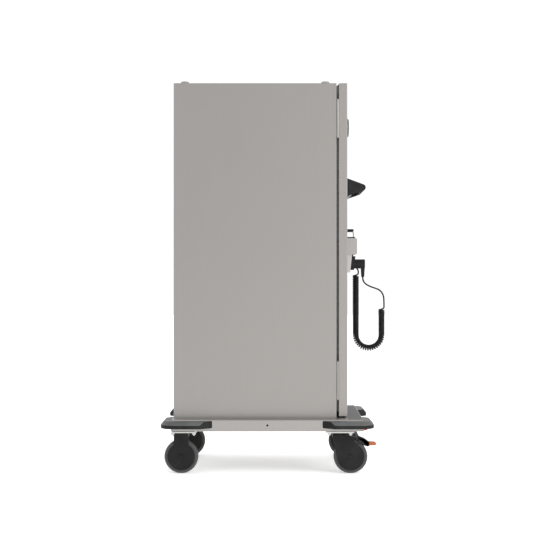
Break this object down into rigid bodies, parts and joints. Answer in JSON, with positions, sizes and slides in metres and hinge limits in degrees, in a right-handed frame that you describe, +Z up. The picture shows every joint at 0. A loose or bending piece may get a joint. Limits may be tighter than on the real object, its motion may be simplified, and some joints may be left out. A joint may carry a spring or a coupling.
{
  "type": "heated food transport container",
  "caption": "Tall insulated trolley for hot food trays: hinged full-height door with push handle, dial thermometer and pull-out heating module on a curly mains cord, on braked swivel casters.",
  "frame": {"origin": "on the floor, in the middle of the footprint without the cord", "axes": "+Z up, the door faces -Y, the door hinges are on the -X side"},
  "size_m": [0.63, 0.8495, 1.4595],
  "materials": {
    "stainless": "fine brushed",
    "bright_steel": "satin",
    "caster_steel": "satin black",
    "zinc_steel": "zinc plated",
    "black_plastic": "fine grain",
    "grey_plastic": "fine grain",
    "wheel_plastic": "moulded",
    "tread": "worn grey rubber",
    "bumper_rubber": "matte",
    "orange_plastic": "matte",
    "foam": "rigid foam",
    "seal_rubber": "matte",
    "glass": "clear",
    "needle_paint": "matte",
    "cord_rubber": "matte",
    "heater_steel": "heat tinted"
  },
  "bodies": {
    "cabinet": {"chassis_tray": "stainless", "bumper_front_left": "bumper_rubber", "bumper_front_right": "bumper_rubber", "bumper_rear_left": "bumper_rubber", "bumper_rear_right": "bumper_rubber", "outer_shell": "stainless", "insulation_panels": "foam", "inner_liner": "stainless", "front_frame": "stainless", "roof_pads": "black_plastic", "rack_left": "stainless", "rack_right": "stainless", "cabinet_hinges": "bright_steel", "strike_plate": "bright_steel", "fixed_forks": "caster_steel", "swivel_plates": "zinc_steel", "caster_bolts": "zinc_steel", "rear_axles": "zinc_steel"},
    "door": {"door_outer_panel": "stainless", "door_core": "foam", "door_inner_panel": "stainless", "door_seal": "seal_rubber", "door_hinge_leaves": "bright_steel", "push_handle": "black_plastic", "latch_case": "bright_steel", "thermometer_case": "bright_steel", "thermometer_glass": "glass"},
    "latch_bolt": {"latch_bolt": "bright_steel"},
    "release_paddle": {"release_paddle": "grey_plastic"},
    "thermometer_needle": {"thermometer_needle": "needle_paint"},
    "heating_module": {"module_housing": "stainless", "module_grip": "bright_steel", "module_duct": "stainless", "heater_element": "heater_steel", "fan_motor": "zinc_steel", "parking_socket": "black_plastic", "mains_plug": "black_plastic", "cable_gland": "black_plastic", "gland_lead": "cord_rubber", "plug_lead": "cord_rubber", "spiral_cord": "cord_rubber"},
    "control_dial": {"control_dial": "black_plastic"},
    "rocker_switch": {"rocker_switch": "black_plastic"},
    "fan_impeller": {"fan_impeller": "zinc_steel"},
    "front_fork_left": {"swivel_fork_left": "caster_steel", "front_axle_left": "zinc_steel"},
    "front_wheel_left": {"wheel_core_front_left": "wheel_plastic", "tyre_front_left": "tread"},
    "brake_pedal_left": {"brake_pedal_left": "black_plastic", "pedal_tread_left": "orange_plastic"},
    "rear_wheel_left": {"wheel_core_rear_left": "wheel_plastic", "tyre_rear_left": "tread"},
    "front_fork_right": {"swivel_fork_right": "caster_steel", "front_axle_right": "zinc_steel"},
    "front_wheel_right": {"wheel_core_front_right": "wheel_plastic", "tyre_front_right": "tread"},
    "brake_pedal_right": {"brake_pedal_right": "black_plastic", "pedal_tread_right": "orange_plastic"},
    "rear_wheel_right": {"wheel_core_rear_right": "wheel_plastic", "tyre_rear_right": "tread"}
  },
  "joints": [
    {"name": "door_hinge", "type": "hinge", "parent": "cabinet", "child": "door", "pos_m": [-0.2158, -0.25765, 0.82875], "axis": [0, 0, -1], "range_deg": [0, 175]},
    {"name": "paddle_hinge", "type": "hinge", "parent": "door", "child": "release_paddle", "pos_m": [0, -0.3071, 1.0845], "axis": [-1, 0, 0], "range_deg": [0, 15], "stiffness_Nm_per_rad": 1, "springref_deg": -17.19},
    {"name": "latch_slide", "type": "slide", "parent": "door", "child": "latch_bolt", "axis": [-1, 0, 0], "range_m": [0, 0.0125]},
    {"name": "needle_turn", "type": "hinge", "parent": "door", "child": "thermometer_needle", "pos_m": [0, -0.3046, 1.3055], "axis": [0, 1, 0], "range_deg": [0, 270]},
    {"name": "module_slide", "type": "slide", "parent": "door", "child": "heating_module", "axis": [0, -1, 0], "range_m": [0, 0.09]},
    {"name": "dial_turn", "type": "hinge", "parent": "heating_module", "child": "control_dial", "pos_m": [0.048, -0.3371, 0.84375], "axis": [0, 1, 0], "range_deg": [0, 270]},
    {"name": "switch_tilt", "type": "hinge", "parent": "heating_module", "child": "rocker_switch", "pos_m": [-0.048, -0.3311, 0.84375], "axis": [-1, 0, 0], "range_deg": [0, 12]},
    {"name": "fan_spin", "type": "hinge", "parent": "heating_module", "child": "fan_impeller", "pos_m": [0, -0.2936, 0.84175], "axis": [0, 1, 0], "continuous": true},
    {"name": "swivel_left", "type": "hinge", "parent": "cabinet", "child": "front_fork_left", "pos_m": [-0.238, -0.2635, 0.144], "axis": [0, 0, 1], "continuous": true},
    {"name": "front_roll_left", "type": "hinge", "parent": "front_fork_left", "child": "front_wheel_left", "pos_m": [-0.238, -0.3035, 0.0625], "axis": [1, 0, 0], "continuous": true},
    {"name": "brake_left", "type": "hinge", "parent": "front_fork_left", "child": "brake_pedal_left", "pos_m": [-0.238, -0.3045, 0.133], "axis": [1, 0, 0], "range_deg": [0, 6]},
    {"name": "rear_roll_left", "type": "hinge", "parent": "cabinet", "child": "rear_wheel_left", "pos_m": [-0.238, 0.3235, 0.0625], "axis": [1, 0, 0], "continuous": true},
    {"name": "swivel_right", "type": "hinge", "parent": "cabinet", "child": "front_fork_right", "pos_m": [0.238, -0.2635, 0.144], "axis": [0, 0, 1], "continuous": true},
    {"name": "front_roll_right", "type": "hinge", "parent": "front_fork_right", "child": "front_wheel_right", "pos_m": [0.238, -0.3035, 0.0625], "axis": [1, 0, 0], "continuous": true},
    {"name": "brake_right", "type": "hinge", "parent": "front_fork_right", "child": "brake_pedal_right", "pos_m": [0.238, -0.3045, 0.133], "axis": [1, 0, 0], "range_deg": [0, 6]},
    {"name": "rear_roll_right", "type": "hinge", "parent": "cabinet", "child": "rear_wheel_right", "pos_m": [0.238, 0.3235, 0.0625], "axis": [1, 0, 0], "continuous": true}
  ],
  "couplings": [
    {"joint": "latch_slide", "follows": "paddle_hinge", "m_per_rad": 0.045837}
  ]
}
